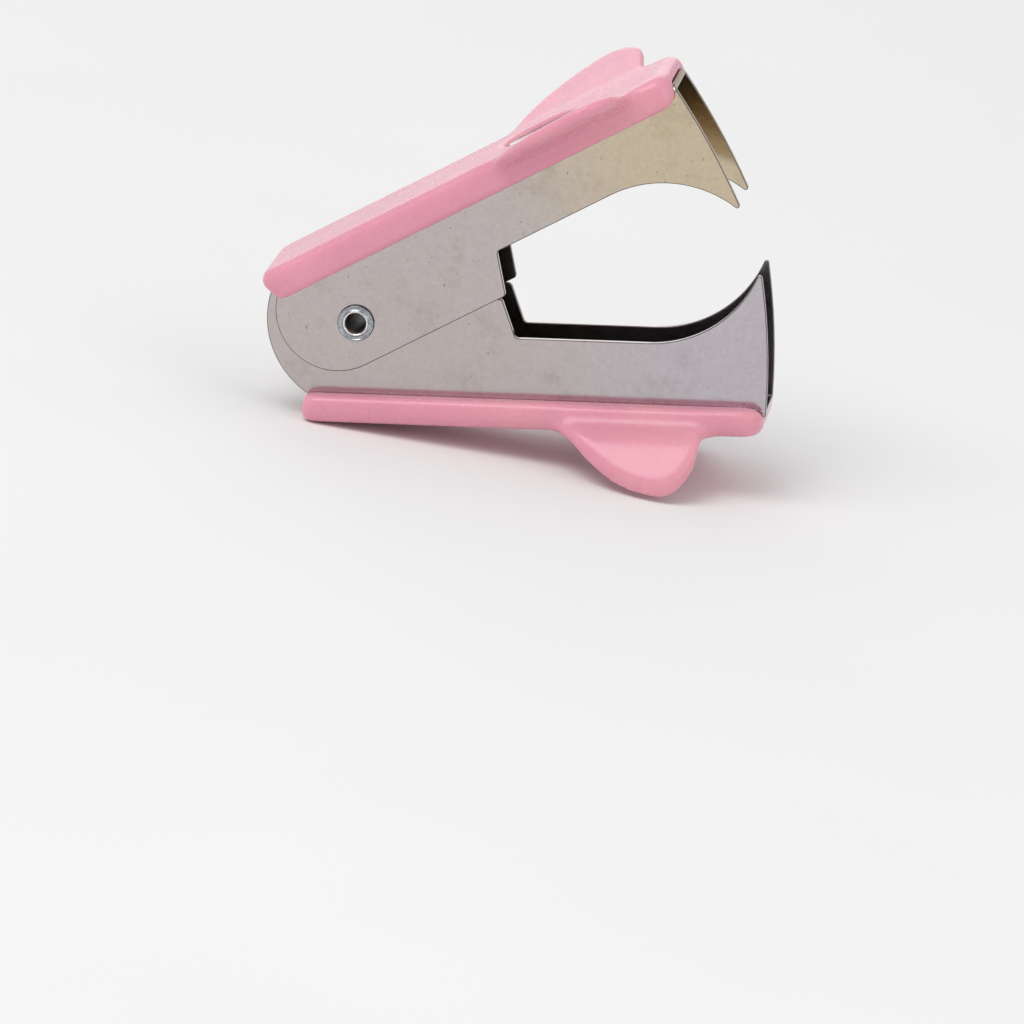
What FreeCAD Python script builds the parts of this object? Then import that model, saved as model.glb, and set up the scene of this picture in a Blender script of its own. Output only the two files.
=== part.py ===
import FreeCAD, Part
import math
import os
import Sketcher

# Claw staple remover: two pressed steel channels, one inside the other, turning on a
# hollow rivet, held open by a torsion spring, each with a moulded grip on its web.
#
# Every jaw and grip is drawn in its arm's own frame: origin on the pivot, +X towards the
# claws, +Y across the tool, the web parallel to X below the pivot and the claws pointing
# up. The upper arm is drawn the same way and turned over by its placement. The lower arm
# is pitched up as it stands on its finger wings, the upper arm further by the opening
# angle.

Vector = FreeCAD.Vector

DIMENSIONS = (
    # sheet metal, both jaws
    ("steel_gauge", 0.8),
    ("inner_jaw_width", 9.6),
    ("side_play", 0.1),
    ("bend_radius", 1.1),
    ("tip_round", 0.3),
    ("corner_round", 0.5),
    ("throat_radius", 14.0),
    ("open_angle", 28.3),
    # lower, inner jaw
    ("lower_reach", 49.4),
    ("lower_web", 10.2),
    ("lower_throat", 1.45),
    ("lower_throat_end", 35.2),
    ("lower_tip_setback", 0.94),
    ("lower_web_setback", 0.1),
    ("lower_hub_top", 3.3),
    ("lower_hub_back", 14.0),
    ("lower_hub_front", 17.5),
    ("lower_throat_start", 19.15),
    ("lower_hub_radius", 10.95),
    ("stop_distance", 7.85),
    # upper, outer jaw
    ("upper_reach", 48.15),
    ("upper_web", 8.7),
    ("upper_throat", 0.15),
    ("upper_throat_end", 34.75),
    ("upper_tip_setback", 0.29),
    ("upper_web_setback", 0.55),
    ("upper_hub_bottom", 5.1),
    ("upper_hub_front", 17.75),
    ("upper_throat_start", 19.35),
    ("upper_hub_radius", 7.4),
    ("upper_hub_rear", 8.85),
    # hollow rivet
    ("rivet_radius", 1.7),
    ("bore_radius", 1.2),
    ("rivet_play", 0.05),
    ("flange_radius", 2.25),
    ("flange_height", 0.55),
    ("lip_radius", 0.3),
    # torsion spring
    ("wire_radius", 0.45),
    ("coil_radius", 2.55),
    ("coil_pitch", 1.0),
    ("coil_turns", 4.0),
    ("leg_reach", 16.0),
    # grips
    ("grip_width", 16.4),
    ("grip_slab", 1.9),
    ("grip_gap", 0.05),
    ("front_corner", 2.6),
    ("rear_corner", 1.4),
    ("skirt_end", 1.7),
    ("outer_edge", 1.3),
    ("rim_edge", 0.5),
    ("lower_skirt", 1.5),
    ("lower_rear", 6.85),
    ("lower_rear_lean", 0.7),
    ("lower_grip_setback", 0.15),
    ("upper_skirt", 2.1),
    ("upper_rear", 8.3),
    ("upper_rear_lean", 1.6),
    ("upper_grip_setback", 0.45),
    # finger wings of the grips
    ("wing_thickness", 1.6),
    ("wing_root", 7.2),
    ("wing_bend", 5.0),
    ("wing_tip_radius", 4.6),
    ("wing_fillet", 1.2),
    ("lower_wing_front", 42.1),
    ("lower_wing_length", 17.6),
    ("lower_wing_edge", 14.9),
    ("lower_wing_turn", 94.0),
    ("lower_wing_angle", 50.0),
    ("upper_wing_front", 42.5),
    ("upper_wing_length", 17.8),
    ("upper_wing_edge", 18.6),
    ("upper_wing_turn", 106.0),
    ("upper_wing_angle", 11.8),
    # window of each grip, and the boss of the web that shows in it
    ("window_centre", 29.5),
    ("window_length", 9.0),
    ("window_width", 6.6),
    ("boss_length", 8.0),
    ("boss_width", 5.6),
    ("boss_height", 1.6),
    # lugs that lock each grip in round holes punched across the bends of its web
    ("lug_from_front", 2.8),
    ("lug_cover", 0.3),
    ("lug_depth", 0.7),
    ("lug_hole_depth", 1.3),
    ("lug_radius", 1.4),
    ("lug_play", 0.05),
    # pitch of the lower arm when the tool stands on a table
    ("standing_pitch", 8.6),
)


def make_sheet(doc):
    """The driving dimensions, one aliased cell each, in millimetres and degrees."""
    sheet = doc.addObject("Spreadsheet::Sheet", "sizes")
    for row, (alias, value) in enumerate(DIMENSIONS, start=1):
        sheet.set(f"A{row}", alias)
        sheet.set(f"B{row}", str(value))
        sheet.setAlias(f"B{row}", alias)
    doc.recompute()
    return sheet


class Sizes:
    """Reads the sheet, and works out the sizes that follow from more than one cell."""

    def __init__(self, sheet):
        self.sheet = sheet

    def __getattr__(self, alias):
        return float(getattr(self.sheet, alias))

    @property
    def outer_jaw_width(self):
        return self.inner_jaw_width + 2 * (self.steel_gauge + self.side_play)


class Arm:
    """One arm's name, jaw width and placement. Its own cells begin with its name."""

    def __init__(self, size, name, jaw_width, width_cell, placement):
        self.size = size
        self.name = name
        self.jaw_width = jaw_width
        self.width_cell = width_cell
        self.placement = placement

    def value(self, word):
        return getattr(self.size, f"{self.name}_{word}")

    def cell(self, word):
        return f"sizes.{self.name}_{word}"


OUTER_WIDTH = "(sizes.inner_jaw_width + 2 * (sizes.steel_gauge + sizes.side_play))"


# ---------------------------------------------------------------- drawing helpers


def polar(radius, degrees, centre=(0.0, 0.0)):
    """Point at a radius and an angle from a centre."""
    angle = math.radians(degrees)
    return (centre[0] + radius * math.cos(angle), centre[1] + radius * math.sin(angle))


def turned(point, degrees):
    """Point turned about the origin, from +X towards the second axis."""
    angle = math.radians(degrees)
    x, z = point
    return (x * math.cos(angle) - z * math.sin(angle), x * math.sin(angle) + z * math.cos(angle))


def tangent_arc_middle(start, end, end_centre):
    """Middle of the arc from start to end that is tangent at its end to a circle about end_centre."""
    reach = math.dist(end, end_centre)
    inward = ((end_centre[0] - end[0]) / reach, (end_centre[1] - end[1]) / reach)
    chord = (end[0] - start[0], end[1] - start[1])
    radius = -(chord[0] ** 2 + chord[1] ** 2) / (2 * (inward[0] * chord[0] + inward[1] * chord[1]))
    centre = (end[0] + radius * inward[0], end[1] + radius * inward[1])
    halfway = ((start[0] + end[0]) / 2 - centre[0], (start[1] + end[1]) / 2 - centre[1])
    scale = radius / math.hypot(*halfway)
    return (centre[0] + scale * halfway[0], centre[1] + scale * halfway[1])


def add_sketch(body, name, role):
    """Empty sketch on one of the body's own origin planes."""
    sketch = body.newObject("Sketcher::SketchObject", name)
    plane = next(item for item in body.Origin.OriginFeatures if item.Role == role)
    sketch.AttachmentSupport = (plane, "")
    sketch.MapMode = "FlatFace"
    return sketch


def flat(point):
    return Vector(point[0], point[1], 0)


def joined_end(sketch, index, point):
    """Which end of a piece of outline, 1 or 2, lies on a point."""
    return min((1, 2), key=lambda end: sketch.getPoint(index, end).distanceToPoint(flat(point)))


def draw_outline(sketch, start, steps):
    """Closed outline. A step is (end,) for a straight stretch or (through, end) for an arc."""
    here = start
    first = sketch.GeometryCount
    for step in steps:
        end = step[-1]
        if len(step) == 1:
            piece = Part.LineSegment(flat(here), flat(end))
        else:
            piece = Part.Arc(flat(here), flat(step[0]), flat(end))
        index = sketch.addGeometry(piece)
        if index > first:
            join = (index - 1, joined_end(sketch, index - 1, here), index, joined_end(sketch, index, here))
            sketch.addConstraint(Sketcher.Constraint("Coincident", *join))
        here = end
    last = sketch.GeometryCount - 1
    join = (last, joined_end(sketch, last, start), first, joined_end(sketch, first, start))
    sketch.addConstraint(Sketcher.Constraint("Coincident", *join))


def draw_circle(sketch, centre, radius, expression):
    """Circle whose radius is bound to the sheet."""
    index = sketch.addGeometry(Part.Circle(flat(centre), Vector(0, 0, 1), radius))
    constraint = sketch.addConstraint(Sketcher.Constraint("Radius", index, radius))
    name = f"radius_{index}"
    sketch.renameConstraint(constraint, name)
    sketch.setExpression(f"Constraints.{name}", expression)


def draw_slot(sketch, centre, length, width):
    """Oblong with round ends, long side along the first axis."""
    half = (length - width) / 2
    radius = width / 2
    x, y = centre
    start = (x - half, y - radius)
    steps = (
        ((x + half, y - radius),),
        ((x + half + radius, y), (x + half, y + radius)),
        ((x - half, y + radius),),
        ((x - half - radius, y), start),
    )
    draw_outline(sketch, start, steps)


def pad(body, name, sketch, length):
    """Solid as long as the expression says, half to each side of the sketch."""
    feature = body.newObject("PartDesign::Pad", name)
    feature.Profile = sketch
    feature.SideType = "Symmetric"
    feature.setExpression("Length", length)
    body.Document.recompute()
    return feature


def pocket(body, name, sketch, length):
    """Cut as long as the expression says, half to each side of the sketch."""
    before = body.Shape.Volume
    feature = body.newObject("PartDesign::Pocket", name)
    feature.Profile = sketch
    feature.SideType = "Symmetric"
    feature.setExpression("Length", length)
    body.Document.recompute()
    if body.Shape.Volume >= before:
        raise RuntimeError(f"{name} cut nothing")
    return feature


def edge_names(shape, test):
    return [f"Edge{number}" for number, edge in enumerate(shape.Edges, start=1) if test(edge)]


def fillet(body, name, test, radius):
    """Rounds every edge of the body's last feature that passes the test."""
    base = body.Tip
    feature = body.newObject("PartDesign::Fillet", name)
    feature.Base = (base, edge_names(base.Shape, test))
    feature.setExpression("Radius", radius)
    body.Document.recompute()
    return feature


def cross_edge_at(points):
    """Test for the edges across the tool that pass through any of the side-view points."""

    def test(edge):
        middle = edge.BoundBox.Center
        across = edge.BoundBox.YLength > max(edge.BoundBox.XLength, edge.BoundBox.ZLength)
        return across and any(math.dist((middle.x, middle.z), point) < 0.05 for point in points)

    return test


# each arm's placement: the pitch of its web, and for the upper arm a half turn about X
LOWER_PLACE = "placement(vector(0; 0; 0); rotation(vector(0; -1; 0); sizes.standing_pitch))"
UPPER_PLACE = (
    "placement(vector(0; 0; 0); "
    "rotation(vector(0; -1; 0); sizes.standing_pitch + sizes.open_angle) "
    "* rotation(vector(1; 0; 0); 180))"
)


def finish(thing, label, placement):
    """Names a sub-part and puts it in its arm's place."""
    thing.Label = label
    thing.setExpression("Placement", placement)
    thing.Document.recompute()


# ---------------------------------------------------------------- jaws


def claw_steps(size, arm):
    """Throat, claw and convex front edge of a jaw, with the sharp corner of the claw's tip."""
    radius = size.throat_radius
    throat = arm.value("throat")
    throat_end = arm.value("throat_end")
    reach = arm.value("reach")
    web = arm.value("web")
    sweep = math.degrees(math.asin((reach - arm.value("tip_setback") - throat_end) / radius))
    centre = (throat_end, radius - throat)
    tip = polar(radius, sweep - 90, centre)
    middle = (reach, (tip[1] - web) / 2)
    low = (reach - arm.value("web_setback"), -web)
    return tip, (((throat_end, -throat),), (polar(radius, sweep / 2 - 90, centre), tip), (middle, low))


def lower_outline(size, arm):
    """Side view of the lower jaw, from the rear end of its web round over the hub."""
    web = size.lower_web
    rear_web = (-math.sqrt(size.lower_hub_radius**2 - web**2), -web)
    # flat that the upper jaw's web rests on when the tool is open
    flat_rear = -math.sqrt(size.lower_hub_radius**2 - size.stop_distance**2)
    stop_rear = turned((flat_rear, size.stop_distance), size.open_angle)
    stop_foot = turned((0.0, size.stop_distance), size.open_angle)
    # the hub's top leaves the clearance round about the pivot along a tangent
    hub_back = (size.lower_hub_back, size.lower_hub_top)
    to_back = math.atan2(hub_back[1], hub_back[0])
    leave = math.degrees(to_back + math.acos(size.stop_distance / math.hypot(*hub_back)))
    halfway = (90 + size.open_angle + leave) / 2
    hub_front = (size.lower_hub_front, size.lower_hub_top)
    throat_start = (size.lower_throat_start, -size.lower_throat)
    tip, claw = claw_steps(size, arm)
    steps = (
        (polar(size.lower_hub_radius, 180), stop_rear),
        (stop_foot,),
        (polar(size.stop_distance, halfway), polar(size.stop_distance, leave)),
        (hub_back,),
        (hub_front,),
        (throat_start,),
        *claw,
        (rear_web,),
    )
    return rear_web, steps, tip, (hub_front, throat_start)


def upper_outline(size, arm):
    """Side view of the upper jaw, from the rear end of its web round over the hub."""
    web = size.upper_web
    radius = size.upper_hub_radius
    # the rear end is round, tangent to the hub's straight free edge
    centre = (radius - size.upper_hub_rear, size.upper_hub_bottom - radius)
    rear_web = (centre[0] - math.sqrt(radius**2 - (web + centre[1]) ** 2), -web)
    hub_front = (size.upper_hub_front, size.upper_hub_bottom)
    throat_start = (size.upper_throat_start, -size.upper_throat)
    tip, claw = claw_steps(size, arm)
    steps = (
        (polar(radius, 180, centre), polar(radius, 90, centre)),
        (hub_front,),
        (throat_start,),
        *claw,
        (rear_web,),
    )
    return rear_web, steps, tip, (hub_front, throat_start)


def side_cylinder(body, kind, name, side, centre, inner_face, radius, length):
    """Round lug or hole along Y, starting inside and running out through one side wall."""
    feature = body.newObject(kind, name)
    feature.setExpression("Radius", radius)
    feature.setExpression("Height", length)
    turn = FreeCAD.Rotation(Vector(1, 0, 0), -90 * side)
    feature.Placement = FreeCAD.Placement(Vector(centre[0], side * inner_face, centre[1]), turn)
    body.Document.recompute()
    return feature


def lug_centre(size, arm):
    """Side-view centre of the lug holes, which the grip's skirt covers."""
    top = arm.value("skirt") - arm.value("web") - size.lug_cover
    return (arm.value("reach") - size.lug_from_front, top - size.lug_radius - size.lug_play)


def level_sketch(body, name, level):
    """Empty sketch in a plane parallel to XY, at the height that the expression says."""
    sketch = add_sketch(body, name, "XY_Plane")
    sketch.setExpression("AttachmentOffset.Base.z", level)
    return sketch


def one_way(body, kind, name, sketch, depth):
    """Pad or pocket that goes down from its sketch, as deep as the expression says."""
    feature = body.newObject(kind, name)
    feature.Profile = sketch
    feature.setExpression("Length", depth)
    feature.Reversed = kind == "PartDesign::Pad"
    body.Document.recompute()


def box_steps(left, right, top, floor):
    return ((right, floor),), ((right, top),), ((left, top),), ((left, floor),)


def make_jaw(doc, size, arm, outline):
    """Pressed channel: two clawed walls joined by a web, with pivot holes and a locking boss."""
    body = doc.addObject("PartDesign::Body", f"{arm.name}_jaw_body")
    reach = arm.value("reach")
    web = arm.value("web")
    start, steps, tip, corners = outline(size, arm)
    side_view = add_sketch(body, "side_view", "XZ_Plane")
    draw_outline(side_view, start, steps)
    pad(body, "blank", side_view, arm.width_cell)
    fillet(body, "claw_tip", cross_edge_at([tip]), "sizes.tip_round")
    fillet(body, "hub_corners", cross_edge_at(corners), "sizes.corner_round")

    def outer_bend(edge):
        box = edge.BoundBox
        return box.XLength > reach / 2 and abs(box.Center.z + web) < 0.01

    fillet(body, "bends", outer_bend, "sizes.bend_radius")

    inside = add_sketch(body, "inside", "XZ_Plane")
    floor = size.steel_gauge - web
    draw_outline(inside, (-reach, floor), box_steps(-reach, 2 * reach, reach, floor))
    pocket(body, "channel", inside, f"{arm.width_cell} - 2 * sizes.steel_gauge")

    pivot = add_sketch(body, "pivot_circle", "XZ_Plane")
    draw_circle(pivot, (0.0, 0.0), size.rivet_radius, "sizes.rivet_radius + sizes.rivet_play")
    pocket(body, "pivot_holes", pivot, arm.width_cell)

    centre = lug_centre(size, arm)
    hole_start = arm.jaw_width / 2 - size.lug_hole_depth
    for side, name in ((-1, "near_lug_hole"), (1, "far_lug_hole")):
        side_cylinder(body, "PartDesign::SubtractiveCylinder", name, side, centre, hole_start,
                      "sizes.lug_radius + sizes.lug_play", "2 * sizes.lug_hole_depth")

    boss = level_sketch(body, "boss_outline", f"-{arm.cell('web')}")
    draw_slot(boss, (size.window_centre, 0.0), size.boss_length, size.boss_width)
    one_way(body, "PartDesign::Pad", "boss", boss, "sizes.boss_height")
    dent = level_sketch(body, "dent_outline", f"sizes.steel_gauge - {arm.cell('web')}")
    inset = 2 * size.steel_gauge
    draw_slot(dent, (size.window_centre, 0.0), size.boss_length - inset, size.boss_width - inset)
    one_way(body, "PartDesign::Pocket", "dent", dent, "sizes.boss_height")
    finish(body, f"{arm.name}_jaw", arm.placement)
    return body


# ---------------------------------------------------------------- rivet and spring


def make_rivet(doc, size):
    """Tubular rivet, both ends rolled over into round-edged flanges with a soft lip."""
    body = doc.addObject("PartDesign::Body", "rivet_body")
    half = size.outer_jaw_width / 2
    top = half + size.flange_height
    bore = size.bore_radius
    lip = size.lip_radius
    rim = size.flange_radius
    shank = size.rivet_radius
    # quarter rounds at the lip and at the flange's outer edge, on both ends
    slant = math.sqrt(0.5)
    lip_middle = bore + lip * (1 - slant)
    edge_middle = rim - lip * (1 - slant)
    steps = (
        ((bore, top - lip),),
        ((lip_middle, top - lip * (1 - slant)), (bore + lip, top)),
        ((rim - lip, top),),
        ((edge_middle, top - lip * (1 - slant)), (rim, top - lip)),
        ((rim, half),),
        ((shank, half),),
        ((shank, -half),),
        ((rim, -half),),
        ((rim, lip - top),),
        ((edge_middle, lip * (1 - slant) - top), (rim - lip, -top)),
        ((bore + lip, -top),),
        ((lip_middle, lip * (1 - slant) - top), (bore, lip - top)),
    )
    section = add_sketch(body, "section", "XY_Plane")
    draw_outline(section, (bore, lip - top), steps)
    turning = body.newObject("PartDesign::Revolution", "turned_section")
    turning.Profile = section
    turning.ReferenceAxis = (section, ["V_Axis"])
    turning.Angle = 360
    finish(body, "pivot_rivet", UPPER_PLACE)
    return body


def spring_leg(size, web):
    """Where a leg leaves the coil, as an angle, and its length out to the inside of a web."""
    level = web - size.steel_gauge - size.wire_radius
    distance = math.hypot(size.leg_reach, level)
    toward_end = -math.degrees(math.atan2(level, size.leg_reach))
    leaves_at = toward_end - math.degrees(math.acos(size.coil_radius / distance))
    return leaves_at, math.sqrt(distance**2 - size.coil_radius**2)


def make_spring(doc, size):
    """Coil round the rivet, its two straight legs tangent to it and resting on the two webs."""
    lower_leaves, lower_length = spring_leg(size, size.lower_web)
    upper_leaves, upper_length = spring_leg(size, size.upper_web)
    # the upper leg is turned over and opened with its arm
    start_angle = size.open_angle - upper_leaves
    turns = size.coil_turns + (lower_leaves + 360 - start_angle) / 360
    width = turns * size.coil_pitch
    helix = Part.makeHelix(size.coil_pitch, width, size.coil_radius)
    helix.rotate(Vector(0, 0, 0), Vector(1, 0, 0), 90)
    helix.rotate(Vector(0, 0, 0), Vector(0, -1, 0), start_angle)
    helix.translate(Vector(0, width / 2, 0))
    coil = helix.Edges[0]
    coil_start = coil.valueAt(coil.FirstParameter)
    coil_end = coil.valueAt(coil.LastParameter)
    start_way = coil.tangentAt(coil.FirstParameter)
    end_way = coil.tangentAt(coil.LastParameter)
    upper_end = coil_start - start_way * upper_length
    lower_end = coil_end + end_way * lower_length
    path = Part.Wire([Part.makeLine(upper_end, coil_start), coil, Part.makeLine(coil_end, lower_end)])
    section = Part.Wire([Part.makeCircle(size.wire_radius, upper_end, start_way)])
    spring = doc.addObject("Part::Feature", "spring")
    spring.Shape = path.makePipeShell([section], True, True)
    finish(spring, "torsion_spring", LOWER_PLACE)
    return spring


# ---------------------------------------------------------------- grips


def wing_section(size, arm, outer):
    """Cross-section of the dish that the wings are cut from, in Y and Z, the jaw's side up."""
    bend = size.wing_bend
    thick = size.wing_thickness
    root = size.wing_root
    edge = arm.value("wing_edge") + thick
    angle = arm.value("wing_angle")
    slope = math.radians(angle)
    centre = (root, -outer - bend)
    # outer face of the dish: flat, a bend, then a straight wing; the inner face runs parallel
    near_face = polar(bend, 90 - angle, centre)
    near_middle = polar(bend, 90 - angle / 2, centre)
    far_face = polar(bend + thick, 90 - angle, centre)
    far_middle = polar(bend + thick, 90 - angle / 2, centre)
    far_tip = (edge, far_face[1] - (edge - far_face[0]) * math.tan(slope))
    near_tip = (far_tip[0] - thick * math.sin(slope), far_tip[1] - thick * math.cos(slope))

    def mirrored(point):
        return (-point[0], point[1])

    start = (root, -outer)
    steps = (
        (near_middle, near_face),
        (near_tip,),
        (far_tip,),
        (far_face,),
        (far_middle, (root, thick - outer)),
        ((-root, thick - outer),),
        (mirrored(far_middle), mirrored(far_face)),
        (mirrored(far_tip),),
        (mirrored(near_tip),),
        (mirrored(near_face),),
        (mirrored(near_middle), (-root, -outer)),
        (start,),
    )
    return start, steps


def draw_wing_waste(sketch, size, arm, side):
    """Plan view of what is cut away outside one wing, leaving its petal shape."""
    radius = size.wing_tip_radius
    front = arm.value("wing_front")
    start_x = front - arm.value("wing_length")
    wall = side * size.grip_width / 2
    edge = side * arm.value("wing_edge")
    beyond = 2 * edge
    tip_centre = (front - radius, edge - side * radius)
    # the long rear edge runs into the round tip along a tangent
    turn = side * arm.value("wing_turn")
    tip_start = polar(radius, turn, tip_centre)
    middle = tangent_arc_middle((start_x, wall), tip_start, tip_centre)
    tip_middle = polar(radius, turn / 2, tip_centre)
    slant = math.sqrt(0.5)
    run = size.wing_fillet
    fillet_middle = (front + (1 - slant) * run, wall + side * (1 - slant) * run)
    left = start_x - radius
    right = front + radius
    steps = (
        ((start_x, wall),),
        (middle, tip_start),
        (tip_middle, (front, tip_centre[1])),
        ((front, wall + side * run),),
        (fillet_middle, (front + run, wall)),
        ((right, wall),),
        ((right, beyond),),
        ((left, beyond),),
        ((left, wall),),
    )
    draw_outline(sketch, (left, wall), steps)


def make_grip(doc, size, arm):
    """Moulded channel over a jaw's web, with two finger wings, a window and locking lugs."""
    body = doc.addObject("PartDesign::Body", f"{arm.name}_grip_body")
    web = arm.value("web")
    half = size.grip_width / 2
    rim = arm.value("skirt") - web
    outer = web + size.grip_slab
    front = arm.value("reach") - arm.value("grip_setback")
    rear = arm.value("rear")
    rear_rim = (arm.value("rear_lean") - rear, rim)
    side_view = add_sketch(body, "side_view", "XZ_Plane")
    draw_outline(side_view, rear_rim, (((front, rim),), ((front, -outer),), ((-rear, -outer),), (rear_rim,)))
    pad(body, "block", side_view, "sizes.grip_width")

    def upright(end_x):
        def test(edge):
            box = edge.BoundBox
            return box.ZLength > size.grip_slab and abs(abs(box.Center.y) - half) < 0.01 and end_x(box.Center.x)

        return test

    def level(z):
        return lambda edge: edge.BoundBox.ZLength < 0.01 and abs(edge.BoundBox.Center.z - z) < 0.01

    fillet(body, "front_corners", upright(lambda x: x > 0), "sizes.front_corner")
    fillet(body, "rear_corners", upright(lambda x: x < 0), "sizes.rear_corner")
    fillet(body, "outer_edges", level(-outer), "sizes.outer_edge")
    fillet(body, "rim_edges", level(rim), "sizes.rim_edge")

    # the rim curves down at the front
    run = size.skirt_end
    turn = polar(run, 45, (front - run, rim - run))
    end_waste = add_sketch(body, "skirt_end_outline", "XZ_Plane")
    steps = (
        (turn, (front, rim - run)),
        ((front + run, rim - run),),
        ((front + run, rim + run),),
        ((front - run, rim + run),),
        ((front - run, rim),),
    )
    draw_outline(end_waste, (front - run, rim), steps)
    pocket(body, "skirt_ends", end_waste, "sizes.grip_width")

    inside = add_sketch(body, "inside", "XZ_Plane")
    draw_outline(inside, (-front, -web), box_steps(-front, 2 * front, front, -web))
    pocket(body, "channel", inside, f"{arm.width_cell} + 2 * sizes.grip_gap")

    dish = add_sketch(body, "dish_section", "YZ_Plane")
    dish.setExpression("AttachmentOffset.Base.z", f"{arm.cell('wing_front')} - {arm.cell('wing_length')}")
    start, steps = wing_section(size, arm, outer)
    draw_outline(dish, start, steps)
    dish_pad = body.newObject("PartDesign::Pad", "dish")
    dish_pad.Profile = dish
    dish_pad.setExpression("Length", f"{arm.cell('wing_length')} + sizes.wing_fillet")
    doc.recompute()

    waste = add_sketch(body, "wing_outline", "XY_Plane")
    for side in (-1, 1):
        draw_wing_waste(waste, size, arm, side)
    through = f"2 * ({arm.cell('web')} + {arm.cell('wing_edge')})"
    pocket(body, "wing_trim", waste, through)

    window = add_sketch(body, "window_outline", "XY_Plane")
    draw_slot(window, (size.window_centre, 0.0), size.window_length, size.window_width)
    pocket(body, "window", window, through)

    lug_start = arm.jaw_width / 2 - size.lug_depth
    for side, name in ((-1, "near_lug"), (1, "far_lug")):
        side_cylinder(body, "PartDesign::AdditiveCylinder", name, side, lug_centre(size, arm), lug_start,
                      "sizes.lug_radius", "2 * sizes.lug_depth")
    finish(body, f"{arm.name}_grip", arm.placement)
    return body


# ---------------------------------------------------------------- assembly


def check(doc, parts):
    """Stops before anything is written if a feature failed or a sub-part is not a sound solid."""
    for thing in doc.Objects:
        if "Invalid" in thing.State or "Error" in thing.State:
            raise RuntimeError(f"{thing.Name} is {thing.State}")
    for part in parts:
        shape = part.Shape
        if shape.isNull() or not shape.isValid() or not shape.Solids:
            raise RuntimeError(f"{part.Label} has no valid shape")


def main():
    doc = FreeCAD.newDocument("staple_remover")
    size = Sizes(make_sheet(doc))
    lower = Arm(size, "lower", size.inner_jaw_width, "sizes.inner_jaw_width", LOWER_PLACE)
    upper = Arm(size, "upper", size.outer_jaw_width, OUTER_WIDTH, UPPER_PLACE)
    parts = (
        make_jaw(doc, size, lower, lower_outline),
        make_jaw(doc, size, upper, upper_outline),
        make_rivet(doc, size),
        make_spring(doc, size),
        make_grip(doc, size, lower),
        make_grip(doc, size, upper),
    )
    check(doc, parts)
    os.makedirs("parts", exist_ok=True)
    for part in parts:
        part.Shape.exportStep(os.path.join("parts", f"{part.Label}.step"))
        box = part.Shape.BoundBox
        print(f"{part.Label}: {part.Shape.Volume:.1f} mm3, x {box.XMin:.2f} to {box.XMax:.2f}, "
              f"y {box.YMin:.2f} to {box.YMax:.2f}, z {box.ZMin:.2f} to {box.ZMax:.2f}")


main()
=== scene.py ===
"""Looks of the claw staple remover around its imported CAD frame, in metres."""

import math
from collections import namedtuple

import bmesh
import bpy
from mathutils import Euler, Matrix, Vector


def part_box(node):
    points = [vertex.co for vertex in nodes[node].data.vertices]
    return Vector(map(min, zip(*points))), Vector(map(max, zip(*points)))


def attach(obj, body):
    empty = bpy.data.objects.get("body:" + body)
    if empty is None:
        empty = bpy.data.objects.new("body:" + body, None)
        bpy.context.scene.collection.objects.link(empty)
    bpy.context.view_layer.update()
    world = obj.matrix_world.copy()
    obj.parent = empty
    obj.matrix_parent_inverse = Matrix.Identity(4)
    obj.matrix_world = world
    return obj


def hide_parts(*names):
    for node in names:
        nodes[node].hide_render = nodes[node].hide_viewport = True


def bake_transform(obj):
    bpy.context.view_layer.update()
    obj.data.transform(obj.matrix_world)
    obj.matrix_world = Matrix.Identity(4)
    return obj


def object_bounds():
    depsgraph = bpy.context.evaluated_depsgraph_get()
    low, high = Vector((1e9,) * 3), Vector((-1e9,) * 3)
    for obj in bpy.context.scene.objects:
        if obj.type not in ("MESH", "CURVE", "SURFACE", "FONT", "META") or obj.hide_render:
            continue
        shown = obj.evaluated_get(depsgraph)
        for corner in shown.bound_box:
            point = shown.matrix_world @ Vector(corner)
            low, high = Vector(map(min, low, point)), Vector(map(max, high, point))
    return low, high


MM = 0.001

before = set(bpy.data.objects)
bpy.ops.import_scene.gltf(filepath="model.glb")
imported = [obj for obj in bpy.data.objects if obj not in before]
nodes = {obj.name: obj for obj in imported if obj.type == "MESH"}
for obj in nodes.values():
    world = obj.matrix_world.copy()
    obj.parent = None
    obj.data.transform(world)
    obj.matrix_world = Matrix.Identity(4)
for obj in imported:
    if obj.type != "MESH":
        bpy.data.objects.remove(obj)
CAD_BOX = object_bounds()
CAD_LOW, CAD_HIGH = (Vector(corner) for corner in CAD_BOX)


# ---------------------------------------------------------------- node helpers

# a random pattern: the size of its features in metres, and how fine and how strong its detail is
Pattern = namedtuple("Pattern", "size detail roughness", defaults=(2.0, 0.5))


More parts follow.
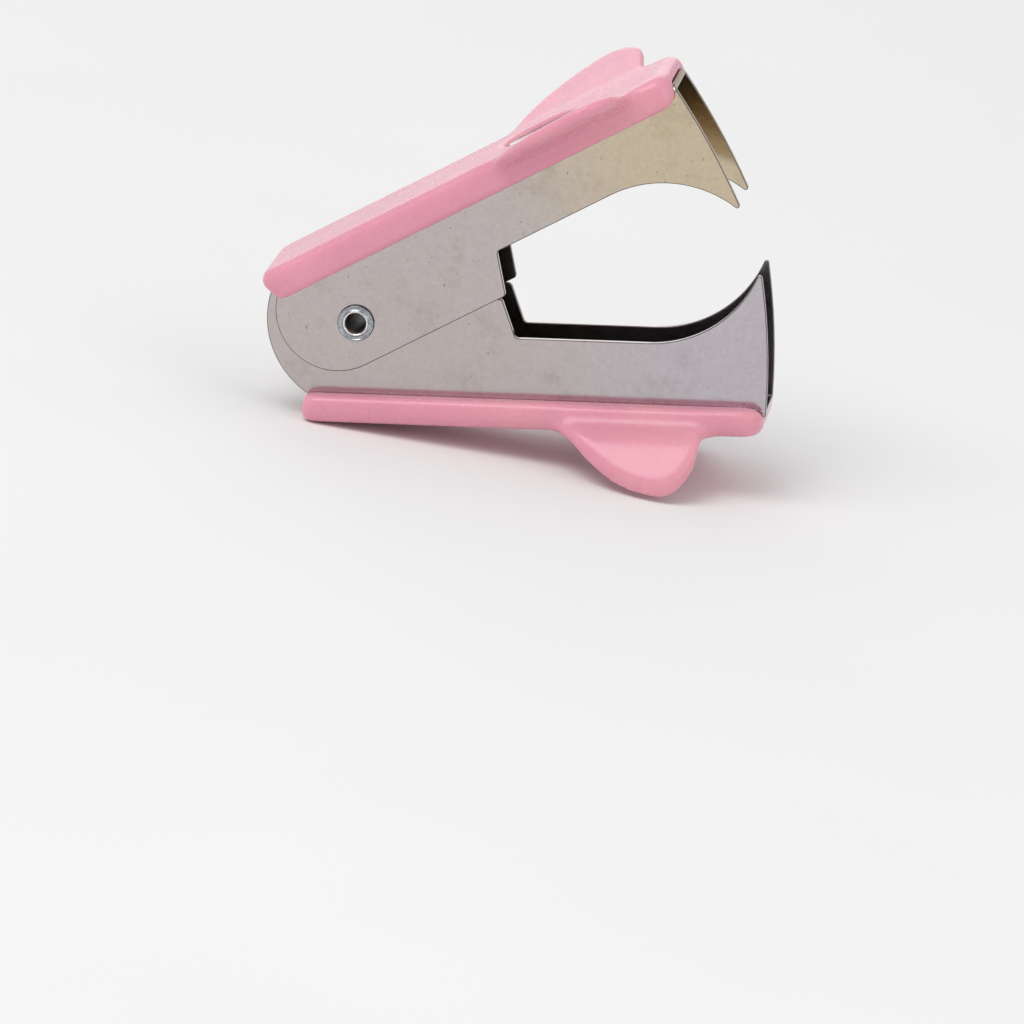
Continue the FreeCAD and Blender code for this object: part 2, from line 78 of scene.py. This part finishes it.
class Nodes:
    """A material's node tree, with short calls to add and join nodes."""

    def __init__(self, name):
        self.material = bpy.data.materials.new(name)
        self.material.use_nodes = True
        self.tree = self.material.node_tree
        self.shader = self.tree.nodes["Principled BSDF"]
        self.place = self.add("ShaderNodeTexCoord").outputs["Object"]

    def add(self, kind, **settings):
        node = self.tree.nodes.new(kind)
        for name, value in settings.items():
            setattr(node, name, value)
        return node

    def join(self, source, target):
        self.tree.links.new(source, target)

    def noise(self, pattern):
        """The pattern's random value, from 0 to 1 and mostly near the middle."""
        node = self.add("ShaderNodeTexNoise")
        node.inputs["Scale"].default_value = 1 / pattern.size
        node.inputs["Detail"].default_value = pattern.detail
        node.inputs["Roughness"].default_value = pattern.roughness
        self.join(self.place, node.inputs["Vector"])
        return node.outputs["Fac"]

    def tint(self, pattern, span, start, end):
        """Colour that goes from start to end as the pattern's value goes through the span."""
        node = self.add("ShaderNodeValToRGB")
        first, last = node.color_ramp.elements
        first.position, last.position = span
        first.color = (*start, 1.0)
        last.color = (*end, 1.0)
        self.join(self.noise(pattern), node.inputs["Fac"])
        return node.outputs["Color"]

    def mix(self, factor, first, second, blend="MIX"):
        """Blends two colours; each of the three values is a number, a colour or a socket."""
        node = self.add("ShaderNodeMix", data_type="RGBA", blend_type=blend)
        for value, name in ((factor, "Factor"), (first, "A"), (second, "B")):
            socket = next(s for s in node.inputs if s.name == name and s.enabled)
            if isinstance(value, bpy.types.NodeSocket):
                self.join(value, socket)
            elif name == "Factor":
                socket.default_value = value
            else:
                socket.default_value = (*value, 1.0)
        return next(s for s in node.outputs if s.enabled)

    def remap(self, source, low, high):
        """The source, 0 to 1, stretched to run from low to high."""
        node = self.add("ShaderNodeMapRange")
        node.inputs["To Min"].default_value = low
        node.inputs["To Max"].default_value = high
        self.join(source, node.inputs["Value"])
        return node.outputs["Result"]

    def fade(self, source, near, far):
        """Goes smoothly from 0 to 1 as the source goes from near to far."""
        node = self.add("ShaderNodeMapRange", interpolation_type="SMOOTHSTEP")
        node.inputs["From Min"].default_value = near
        node.inputs["From Max"].default_value = far
        self.join(source, node.inputs["Value"])
        return node.outputs["Result"]

    def distance_from_pivot(self):
        """Distance of the painted point from the pivot axis, in metres."""
        split = self.add("ShaderNodeSeparateXYZ")
        self.join(self.place, split.inputs["Vector"])
        level = self.add("ShaderNodeCombineXYZ")
        for axis in "XZ":
            self.join(split.outputs[axis], level.inputs[axis])
        length = self.add("ShaderNodeVectorMath", operation="LENGTH")
        self.join(level.outputs["Vector"], length.inputs[0])
        return length.outputs["Value"]

    def bump(self, pattern, height):
        node = self.add("ShaderNodeBump")
        node.inputs["Strength"].default_value = 1.0
        node.inputs["Distance"].default_value = height
        self.join(self.noise(pattern), node.inputs["Height"])
        self.join(node.outputs["Normal"], self.shader.inputs["Normal"])

    def set(self, **values):
        """Sets the shader's inputs, named with _ for each space, to constants or sockets."""
        for name, value in values.items():
            socket = self.shader.inputs[name.replace("_", " ")]
            if isinstance(value, bpy.types.NodeSocket):
                self.join(value, socket)
            else:
                socket.default_value = value


# ---------------------------------------------------------------- materials


def grey(level):
    return (level, level, level)


WHITE = grey(1.0)

# the span of a pattern's values that a tint runs over
BROAD = (0.3, 0.7)
CRISP = (0.35, 0.65)
UPPER = (0.4, 0.65)
PEAKS = (0.54, 0.76)
DIPS = (0.15, 0.2)

# the plating's grey, and the cool and warm painted reflection tints that the jaws shift to away from the
# pivot
NICKEL_COOL_REFLECTION = (0.53, 0.49, 0.525)
NICKEL_GREY = (0.53, 0.475, 0.465)
NICKEL_WARM_REFLECTION = (0.59, 0.495, 0.36)
# dark grey painted shade on the jaws' rolled-over cut edges
EDGE_SHADE_GREY = (0.2, 0.175, 0.16)
# distances from the pivot between which the plating's colour shifts into a painted reflection tint
REFLECTION_TINT_SPAN = (19 * MM, 42 * MM)
MOTTLE = Pattern(0.5 * MM, detail=3.0)
MOTTLE_TONES = (grey(0.94), grey(1.03))
SMUDGES = Pattern(6 * MM, detail=5.0, roughness=0.7)
SMUDGE_TONE = (0.84, 0.815, 0.79)
SPECKS = Pattern(0.4 * MM, detail=0.0)
SPECK_TONE = (0.6, 0.57, 0.55)
POLISH = Pattern(5 * MM, detail=4.0, roughness=0.6)
POLISH_ROUGHNESS = (0.1, 0.2)
WAVES = Pattern(5 * MM, detail=1.0)
WAVE_HEIGHT = 0.02 * MM


def nickel(name, near_colour, far_colour):
    """Bright nickel plating on pressed sheet, a little wavy, with faint smudges and specks, and a
    painted reflection tint that grows away from the pivot.
    """
    made = Nodes(name)
    # painted reflection: the colour shifts from near_colour at the hub to far_colour further out
    base = made.mix(made.fade(made.distance_from_pivot(), *REFLECTION_TINT_SPAN), near_colour, far_colour)
    mottle = made.tint(MOTTLE, BROAD, *MOTTLE_TONES)
    smudges = made.tint(SMUDGES, PEAKS, WHITE, SMUDGE_TONE)
    specks = made.tint(SPECKS, DIPS, SPECK_TONE, WHITE)
    for layer in (mottle, smudges, specks):
        base = made.mix(1.0, base, layer, "MULTIPLY")
    roughness = made.remap(made.noise(POLISH), *POLISH_ROUGHNESS)
    made.set(Metallic=1.0, Base_Color=base, Roughness=roughness)
    made.bump(WAVES, WAVE_HEIGHT)
    return made.material


WIRE_MARKS = Pattern(0.3 * MM, detail=4.0)
WIRE_TONES = (grey(0.3), (0.5, 0.5, 0.49))
WIRE_WEAR = Pattern(0.5 * MM)
WIRE_ROUGHNESS = (0.25, 0.45)


def wire_steel():
    """Drawn spring wire with fine marks on it."""
    made = Nodes("spring_wire")
    marks = made.tint(WIRE_MARKS, BROAD, *WIRE_TONES)
    roughness = made.remap(made.noise(WIRE_WEAR), *WIRE_ROUGHNESS)
    made.set(Metallic=1.0, Base_Color=marks, Roughness=roughness)
    return made.material


RIVET_GRAIN = Pattern(0.22 * MM, detail=3.0)
RIVET_TONES = ((0.26, 0.28, 0.3), (0.5, 0.53, 0.56))
# painted highlight on the rolled inner lip
LIP_HIGHLIGHT_TONE = grey(0.8)
# painted shadow round the rivet's outer rim
RIM_SHADOW_TONE = (0.07, 0.07, 0.075)
# painted shade down the bore: near black, mottled with a brownish painted reflection
BORE_SHADE = Pattern(2 * MM, detail=3.0)
BORE_SHADE_TONES = ((0.02, 0.018, 0.015), (0.16, 0.1, 0.07))
# shares of the ring from bore to rim: where the inner painted highlight fades out and the painted shadow
# round the rim fades in
LIP_HIGHLIGHT_END = (0.32, 0.22)
RIM_SHADOW_START = (0.86, 0.94)
# times the bore's radius: where the painted shade down the bore fades in
BORE_SHADE_START = (1.04, 1.01)
# from the plated ring to the bore, painted in shade
RIVET_METALLIC = (1.0, 0.0)
RIVET_ROUGHNESS = (0.2, 0.5)
PITS = Pattern(0.2 * MM)
PIT_HEIGHT = 0.012 * MM


def rivet_steel(bore, rim):
    """Plated rolled rivet, grained between its two lips, with a painted highlight on the inner lip, a
    painted shadow round the rim and painted shade down its bore.
    """
    made = Nodes("rivet_steel")
    radius = made.distance_from_pivot()
    lip = made.fade(radius, *(bore + share * (rim - bore) for share in LIP_HIGHLIGHT_END))
    edge = made.fade(radius, *(bore + share * (rim - bore) for share in RIM_SHADOW_START))
    inside = made.fade(radius, *(bore * share for share in BORE_SHADE_START))
    # the grain, with a painted highlight next to the bore
    base = made.mix(lip, made.tint(RIVET_GRAIN, CRISP, *RIVET_TONES), LIP_HIGHLIGHT_TONE)
    # painted shadow round the outer rim
    base = made.mix(edge, base, RIM_SHADOW_TONE)
    # painted shade down the bore
    base = made.mix(inside, base, made.tint(BORE_SHADE, UPPER, *BORE_SHADE_TONES))
    metallic = made.remap(inside, *RIVET_METALLIC)
    roughness = made.remap(inside, *RIVET_ROUGHNESS)
    made.set(Metallic=metallic, Base_Color=base, Roughness=roughness)
    made.bump(PITS, PIT_HEIGHT)
    return made.material


CLOUDS = Pattern(9 * MM, detail=3.0)
PINKS = ((0.73, 0.30, 0.41), (0.79, 0.35, 0.42))
SATIN = Pattern(3 * MM, detail=3.0)
SATIN_ROUGHNESS = (0.22, 0.32)
PLASTIC_IOR = 1.49
RIPPLES = Pattern(4 * MM, detail=1.0)
RIPPLE_HEIGHT = 0.01 * MM
# how much of the light goes into the plastic, how far, and how much of red, green and blue goes that far
GLOW = 0.45
GLOW_DEPTH = 1.6 * MM
GLOW_COLOURS = (1.0, 0.42, 0.4)


def pink_plastic():
    """Satin, slightly translucent moulded plastic with soft clouding."""
    made = Nodes("pink_plastic")
    roughness = made.remap(made.noise(SATIN), *SATIN_ROUGHNESS)
    made.set(Base_Color=made.tint(CLOUDS, BROAD, *PINKS), Roughness=roughness, IOR=PLASTIC_IOR)
    made.set(Subsurface_Weight=GLOW, Subsurface_Radius=GLOW_COLOURS, Subsurface_Scale=GLOW_DEPTH)
    made.bump(RIPPLES, RIPPLE_HEIGHT)
    return made.material


FLOOR_PATTERN = Pattern(90 * MM)
FLOOR_TONES = (grey(0.86), grey(0.88))
FLOOR_ROUGHNESS = 0.9


def floor_paint():
    """Pale matt table top with a barely visible unevenness."""
    made = Nodes("floor")
    made.set(Base_Color=made.tint(FLOOR_PATTERN, BROAD, *FLOOR_TONES), Roughness=FLOOR_ROUGHNESS)
    return made.material


# ---------------------------------------------------------------- object helpers


def new_object(name, data):
    thing = bpy.data.objects.new(name, data)
    bpy.context.scene.collection.objects.link(thing)
    return thing


def mesh_from(shape, name):
    """Turns a finished bmesh into a mesh."""
    mesh = bpy.data.meshes.new(name)
    shape.to_mesh(mesh)
    shape.free()
    return mesh


def paint(thing, *materials):
    thing.data.materials.clear()
    for material in materials:
        thing.data.materials.append(material)


def add_modifier(thing, kind, **settings):
    modifier = thing.modifiers.new(kind.lower(), kind)
    for name, value in settings.items():
        setattr(modifier, name, value)


def apply_modifiers(thing):
    """Replaces the mesh by what its modifiers make of it."""
    bpy.context.view_layer.update()
    evaluated = thing.evaluated_get(bpy.context.evaluated_depsgraph_get())
    mesh = bpy.data.meshes.new_from_object(evaluated)
    thing.modifiers.clear()
    thing.data = mesh


def shade_smooth(thing):
    for polygon in thing.data.polygons:
        polygon.use_smooth = True


# ---------------------------------------------------------------- grips

# side of the small cells that the grips are rebuilt from
CELL = 0.24 * MM
# radius of the hollows
HOLLOW = 1.1 * MM
# rounds of smoothing after each rebuild, and how far a round goes
SMOOTHINGS = 16
SMOOTHING_FACTOR = 0.5


def make_grip(node, body, material):
    """The grip as moulded: edges rounded and the wings run into the sides in soft hollows."""
    grip = new_object(f"{node}_moulding", nodes[node].data.copy())
    # swelling it and shrinking it again in two steps fills every inner corner with a hollow
    for swell in (HOLLOW, -HOLLOW / 2, -HOLLOW / 2, 0.0):
        add_modifier(grip, "REMESH", mode="VOXEL", voxel_size=CELL)
        add_modifier(grip, "SMOOTH", factor=SMOOTHING_FACTOR, iterations=SMOOTHINGS)
        add_modifier(grip, "DISPLACE", strength=swell, mid_level=0.0)
    apply_modifiers(grip)
    shade_smooth(grip)
    paint(grip, material)
    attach(grip, body)
    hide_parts(node)


# ---------------------------------------------------------------- jaws

WELD_GAP = 0.0005 * MM
FLAT_ANGLE = math.radians(0.5)
CORNER_ANGLE = math.radians(40)
EDGE_ROLL = 0.12 * MM
EDGE_SEGMENTS = 2


def finish_sheet_metal(node, material, edge_shade_material):
    """Rolls over the pressed jaw's cut edges, painted darker than its faces as painted shade."""
    jaw = nodes[node]
    paint(jaw, material, edge_shade_material)
    add_modifier(jaw, "WELD", merge_threshold=WELD_GAP)
    add_modifier(jaw, "DECIMATE", decimate_type="DISSOLVE", angle_limit=FLAT_ANGLE)
    # material 1 is the second one painted on, the dark grey painted shade on the cut edges
    add_modifier(jaw, "BEVEL", width=EDGE_ROLL, segments=EDGE_SEGMENTS, limit_method="ANGLE",
                 angle_limit=CORNER_ANGLE, use_clamp_overlap=False, harden_normals=True, material=1)


# ---------------------------------------------------------------- spring


def make_spring(material):
    """The spring coil, a smooth-shaded copy of the CAD spring in its rest shape."""
    spring = new_object("spring_coil", nodes["torsion_spring"].data.copy())
    shade_smooth(spring)
    paint(spring, material)
    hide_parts("torsion_spring")
    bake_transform(spring)


# ---------------------------------------------------------------- rivet

# the rivet's rolled end, from its bore to its rim: share of the ring's width, share of the roll's height
ROLL = ((0.02, 0.45), (0.1, 0.85), (0.22, 1.0), (0.34, 0.85), (0.42, 0.62), (0.55, 0.56), (0.7, 0.62),
        (0.78, 0.78), (0.86, 0.84), (0.94, 0.68), (0.99, 0.35))
ROLL_HEIGHT = 0.55 * MM
ROLL_SIDES = 96
# thickness of the rivet's wall between its ends, as a share of the ring's width
SHANK = 0.45


def rivet_section(bore, rim, end):
    """Outline of the rivet's wall as (radius, y) corners, with both ends rolled over."""
    ring = rim - bore
    face = end - ROLL_HEIGHT
    # half of it: from the middle of the bore out over the rolled end and back down the shank
    half = [(bore, 0.0), (bore, face)]
    half += [(bore + ring * across, face + ROLL_HEIGHT * rise) for across, rise in ROLL]
    half += [(rim, face), (bore + SHANK * ring, face), (bore + SHANK * ring, 0.0)]
    return half + [(radius, -y) for radius, y in reversed(half[1:-1])]


def spin_round(section, name):
    """Mesh of a closed section turned once round the pivot axis."""
    shape = bmesh.new()
    corners = [shape.verts.new((radius, y, 0)) for radius, y in section]
    edges = [shape.edges.new(pair) for pair in zip(corners, corners[1:] + corners[:1])]
    bmesh.ops.spin(shape, geom=corners + edges, axis=(0, 1, 0), cent=(0, 0, 0), angle=2 * math.pi,
                   steps=ROLL_SIDES, use_merge=True)
    bmesh.ops.recalc_face_normals(shape, faces=shape.faces)
    return mesh_from(shape, name)


def make_rivet():
    """The hollow rivet with both ends rolled over into a ring with two lips and a groove."""
    low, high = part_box("pivot_rivet")
    rim = (high.x - low.x) / 2
    bore = min(math.hypot(vertex.co.x, vertex.co.z) for vertex in nodes["pivot_rivet"].data.vertices)
    section = rivet_section(bore, rim, (high.y - low.y) / 2)
    rivet = new_object("rolled_rivet", spin_round(section, "rolled_rivet"))
    shade_smooth(rivet)
    paint(rivet, rivet_steel(bore, rim))
    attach(rivet, "upper_arm")
    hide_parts("pivot_rivet")


# ---------------------------------------------------------------- stage

FLOOR_SIZE = 12.0

WORLD_STRENGTH = 0.64
# each soft light: its direction from the tool, its distance, the length of its side and its power
SOFTBOXES = {
    "key": ((-0.45, -0.5, 1.0), 1.6, 1.0, 11.0),
    "fill": ((0.9, -0.6, 0.6), 1.6, 0.8, 2.0),
    "back": ((-0.25, 1.0, 0.4), 1.2, 0.8, 1.5),
}

# the camera: the point it looks at, the side and the height it looks from, its tilt, distance and lens
AIM = Vector((22.33, -7.49, -19.06)) * MM
VIEW_AZIMUTH = math.radians(4.81)
VIEW_ELEVATION = math.radians(15.28)
VIEW_ROLL = math.radians(9.29)
VIEW_DISTANCE = 896.0 * MM
LENS = 262.6
SENSOR = 36.0


def make_floor():
    shape = bmesh.new()
    bmesh.ops.create_grid(shape, x_segments=1, y_segments=1, size=FLOOR_SIZE / 2)
    floor = new_object("floor", mesh_from(shape, "floor"))
    floor.location.z = CAD_LOW.z
    paint(floor, floor_paint())


def add_softbox(name, direction, distance, side, power):
    """Square area light that faces the tool."""
    light = bpy.data.lights.new(name, "AREA")
    light.shape = "SQUARE"
    light.size = side
    light.energy = power
    thing = new_object(name, light)
    centre = (CAD_LOW + CAD_HIGH) / 2
    way = Vector(direction).normalized()
    thing.location = centre + way * distance
    thing.rotation_euler = way.to_track_quat("Z", "Y").to_euler()


def light_the_stage():
    world = bpy.data.worlds.new("studio")
    world.use_nodes = True
    background = world.node_tree.nodes["Background"]
    background.inputs["Color"].default_value = (*WHITE, 1.0)
    background.inputs["Strength"].default_value = WORLD_STRENGTH
    bpy.context.scene.world = world
    for name, settings in SOFTBOXES.items():
        add_softbox(name, *settings)


def make_camera():
    camera = bpy.data.cameras.new("camera")
    camera.lens = LENS
    camera.sensor_width = SENSOR
    camera.clip_end = FLOOR_SIZE
    thing = new_object("camera", camera)
    turn = Euler((math.pi / 2 - VIEW_ELEVATION, 0, VIEW_AZIMUTH)).to_matrix()
    turn = turn @ Matrix.Rotation(VIEW_ROLL, 3, "Z")
    thing.matrix_world = Matrix.Translation(AIM + turn @ Vector((0, 0, VIEW_DISTANCE))) @ turn.to_4x4()
    bpy.context.scene.camera = thing


# ---------------------------------------------------------------- scene

plastic = pink_plastic()
# plating in a dark grey, painted shade for the jaws' cut edges
edge_shade_nickel = nickel("edge_shade_nickel", EDGE_SHADE_GREY, EDGE_SHADE_GREY)
finish_sheet_metal("lower_jaw", nickel("lower_nickel", NICKEL_GREY, NICKEL_COOL_REFLECTION), edge_shade_nickel)
finish_sheet_metal("upper_jaw", nickel("upper_nickel", NICKEL_GREY, NICKEL_WARM_REFLECTION), edge_shade_nickel)
make_rivet()
make_spring(wire_steel())
make_grip("lower_grip", "lower_arm", plastic)
make_grip("upper_grip", "upper_arm", plastic)
make_floor()
light_the_stage()
make_camera()
bpy.context.scene.view_settings.view_transform = "Standard"
